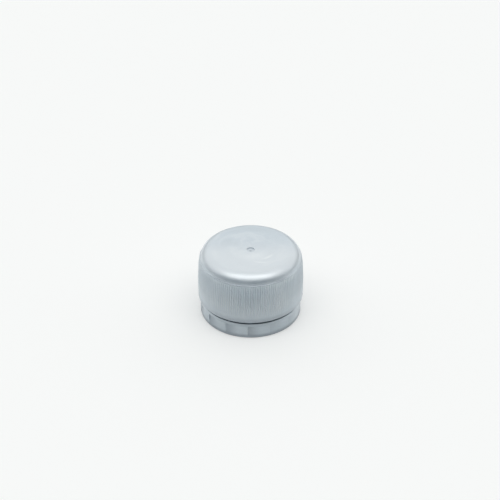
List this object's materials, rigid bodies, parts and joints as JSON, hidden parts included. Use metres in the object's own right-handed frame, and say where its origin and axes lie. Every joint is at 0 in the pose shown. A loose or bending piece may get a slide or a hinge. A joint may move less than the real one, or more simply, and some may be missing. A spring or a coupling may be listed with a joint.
{
  "type": "bottle cap",
  "caption": "Round screw-on bottle cap with a softly dished top, round shoulder, finely ribbed grip skirt and a slit tamper band with saw-tooth pockets, hollow below to take a threaded neck.",
  "frame": {"origin": "centre of the tamper band's foot, on the cap's axis", "axes": "+Z along the cap's axis, from the open mouth towards the top face; +X to the right and +Y away from the viewer in the picture"},
  "size_m": [0.0306, 0.0306, 0.021],
  "materials": {
    "silver_plastic": "semi-gloss moulded plastic with silver pigment"
  },
  "bodies": {
    "root": {"cap": "silver_plastic"}
  },
  "joints": []
}
